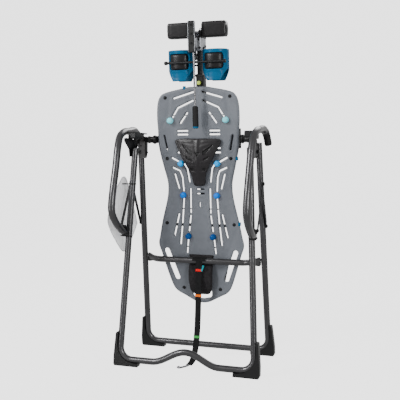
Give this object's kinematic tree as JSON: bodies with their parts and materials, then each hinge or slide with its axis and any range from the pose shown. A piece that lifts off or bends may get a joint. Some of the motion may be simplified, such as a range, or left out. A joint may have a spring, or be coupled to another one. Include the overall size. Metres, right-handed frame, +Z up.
{
  "type": "inversion table",
  "caption": "Folding home inversion table in storage position: contoured bed on an A-frame, handlebars, ankle cups on a long shaft, tether strap.",
  "frame": {"origin": "on the floor, at the middle of the whole object's box", "axes": "+Z up; +X to the right of a person who faces the bed; +Y from the rear frame, with the handlebars' rear bend, towards the front frame, which the bed leans on"},
  "size_m": [0.738, 0.5457, 1.7052],
  "materials": {
    "tube_steel": "dark gunmetal powder coat, satin",
    "black_plastic": "moulded black, fine grain",
    "bed_plastic": "moulded mid-grey, satin",
    "bare_steel": "bright steel",
    "bare_aluminium": "bright cast bracket",
    "dark_steel": "black-coated steel",
    "chrome": "plated rod",
    "lumbar_plastic": "moulded near-black, ribbed",
    "cup_blue": "glossy blue",
    "foam": "black closed-cell foam",
    "fabric": "black woven cover",
    "webbing": "black woven webbing",
    "mesh_fabric": "pale translucent fabric",
    "node_light": "soft pale cyan",
    "node_cyan": "soft cyan",
    "node_blue": "firm blue",
    "node_deep": "firmest deep blue",
    "knob_yellow": "yellow-green knob"
  },
  "bodies": {
    "front_frame": {"front_frame_tube": "tube_steel", "front_foot_left": "black_plastic", "front_foot_right": "black_plastic", "front_crossbar": "tube_steel", "hinge_plate_left": "bare_steel", "hinge_plate_right": "bare_steel", "hinge_pin_left": "dark_steel", "hinge_pin_right": "dark_steel", "hinge_cover_left": "black_plastic", "hinge_cover_right": "black_plastic", "tether_strap": "webbing", "tether_hook": "chrome"},
    "axle_lock_left": {"axle_lock_left": "dark_steel"},
    "axle_lock_right": {"axle_lock_right": "dark_steel"},
    "rear_frame": {"rear_frame_tube": "tube_steel", "rear_foot_left": "black_plastic", "rear_foot_right": "black_plastic", "hinge_strap_left": "dark_steel", "hinge_strap_right": "dark_steel", "rear_leg_cap_left": "black_plastic", "rear_leg_cap_right": "black_plastic", "handlebar_left": "tube_steel", "handlebar_right": "tube_steel", "horn_grip_left": "foam", "horn_grip_right": "foam", "storage_caddy": "mesh_fabric"},
    "front_spreaders": {"spreader_front_left": "dark_steel", "spreader_front_right": "dark_steel"},
    "rear_spreaders": {"spreader_rear_left": "dark_steel", "spreader_rear_right": "dark_steel"},
    "bed": {"bed_shell": "bed_plastic", "bed_rails": "dark_steel", "lumbar_bridge": "lumbar_plastic", "head_pillow": "fabric", "shaft_sleeve": "black_plastic", "roller_hinge_left": "black_plastic", "roller_hinge_right": "black_plastic", "pressure_node_shoulder_left": "node_light", "pressure_node_shoulder_right": "node_light", "pressure_node_upper_left": "node_cyan", "pressure_node_upper_right": "node_cyan", "pressure_node_waist_left": "node_blue", "pressure_node_waist_right": "node_blue", "pressure_node_hip_left": "node_deep", "pressure_node_hip_right": "node_deep"},
    "height_pin": {"height_pin": "knob_yellow"},
    "main_shaft": {"main_shaft": "dark_steel", "ankle_yoke": "bare_aluminium", "rear_cup_left": "cup_blue", "rear_cup_right": "cup_blue", "rear_cup_rod": "dark_steel"},
    "foot_platform": {"foot_platform": "foam"},
    "front_cups": {"front_cup_left": "cup_blue", "front_cup_right": "cup_blue", "front_pad_left": "foam", "front_pad_right": "foam", "front_cup_rod": "dark_steel"},
    "ankle_lever": {"lever_channel": "black_plastic", "lever_rod": "chrome", "lever_grip": "foam"}
  },
  "joints": [
    {"name": "frame_fold", "type": "hinge", "parent": "front_frame", "child": "rear_frame", "pos_m": [0, 0.0178, 1.06], "axis": [-1, 0, 0], "range_deg": [-8, 35]},
    {"name": "front_spreader_fold", "type": "hinge", "parent": "front_frame", "child": "front_spreaders", "pos_m": [0, 0.1423, 0.69], "axis": [1, 0, 0], "range_deg": [-5, 20]},
    {"name": "rear_spreader_fold", "type": "hinge", "parent": "rear_frame", "child": "rear_spreaders", "pos_m": [0, -0.1002, 0.69], "axis": [-1, 0, 0], "range_deg": [-5, 20]},
    {"name": "bed_rotation", "type": "hinge", "parent": "front_frame", "child": "bed", "pos_m": [0, 0.0678, 1.125], "axis": [1, 0, 0], "range_deg": [0, 345]},
    {"name": "height_pin_pull", "type": "slide", "parent": "bed", "child": "height_pin", "axis": [0, -0.9951, -0.0993], "range_m": [0, 0.012], "stiffness_N_per_m": 800},
    {"name": "shaft_slide", "type": "slide", "parent": "bed", "child": "main_shaft", "axis": [0, -0.0993, 0.9951], "range_m": [0, 0.34]},
    {"name": "ankle_lever_lift", "type": "hinge", "parent": "main_shaft", "child": "ankle_lever", "pos_m": [-0.009, -0.01767, 1.67925], "axis": [-1, 0, 0], "range_deg": [0, 40]},
    {"name": "front_cups_slide", "type": "slide", "parent": "main_shaft", "child": "front_cups", "axis": [0, -0.9951, -0.0993], "range_m": [0, 0.052]},
    {"name": "platform_flip", "type": "hinge", "parent": "main_shaft", "child": "foot_platform", "pos_m": [0, 0.05546, 1.65138], "axis": [1, 0, 0], "range_deg": [0, 180]},
    {"name": "axle_lock_left_swing", "type": "hinge", "parent": "front_frame", "child": "axle_lock_left", "pos_m": [0, 0.0978, 1.06], "axis": [-1, 0, 0], "range_deg": [0, 50]},
    {"name": "axle_lock_right_swing", "type": "hinge", "parent": "front_frame", "child": "axle_lock_right", "pos_m": [0, 0.0978, 1.06], "axis": [-1, 0, 0], "range_deg": [0, 50]}
  ],
  "couplings": [
    {"joint": "front_spreader_fold", "follows": "frame_fold", "ratio": 0.54},
    {"joint": "rear_spreader_fold", "follows": "frame_fold", "ratio": 0.54},
    {"joint": "front_cups_slide", "follows": "ankle_lever_lift", "m_per_rad": 0.0716}
  ]
}
